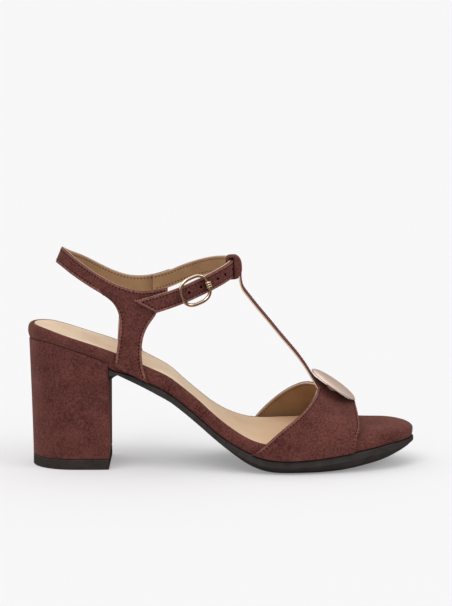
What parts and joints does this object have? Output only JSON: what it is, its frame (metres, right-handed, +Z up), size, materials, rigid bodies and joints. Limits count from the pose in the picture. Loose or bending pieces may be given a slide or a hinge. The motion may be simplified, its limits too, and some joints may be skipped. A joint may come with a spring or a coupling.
{
  "type": "t strap block heel sandal",
  "caption": "Right T-strap sandal with a suede-covered block heel, slim wrapped footbed, back strap, ankle strap with buckle and a large domed button on the vamp.",
  "frame": {"origin": "centre of the heel's flat underside, on the floor", "axes": "+X towards the toe, +Y towards the inner (medial) side of the foot, +Z up"},
  "size_m": [0.2297, 0.0861, 0.13],
  "materials": {
    "suede": "napped suede, matte",
    "sock_leather": "smooth lining leather",
    "outsole_rubber": "matte",
    "top_piece_rubber": "matte",
    "rose_gold": "polished",
    "champagne_satin": "satin"
  },
  "bodies": {
    "root": {"heel": "suede", "heel_top_piece": "top_piece_rubber", "outsole": "outsole_rubber", "footbed": "suede", "insole_sock": "sock_leather", "vamp": "suede", "quarters": "suede", "ankle_strap": "suede", "buckle_frame": "rose_gold", "buckle_prong": "rose_gold", "button": "champagne_satin"}
  },
  "joints": []
}
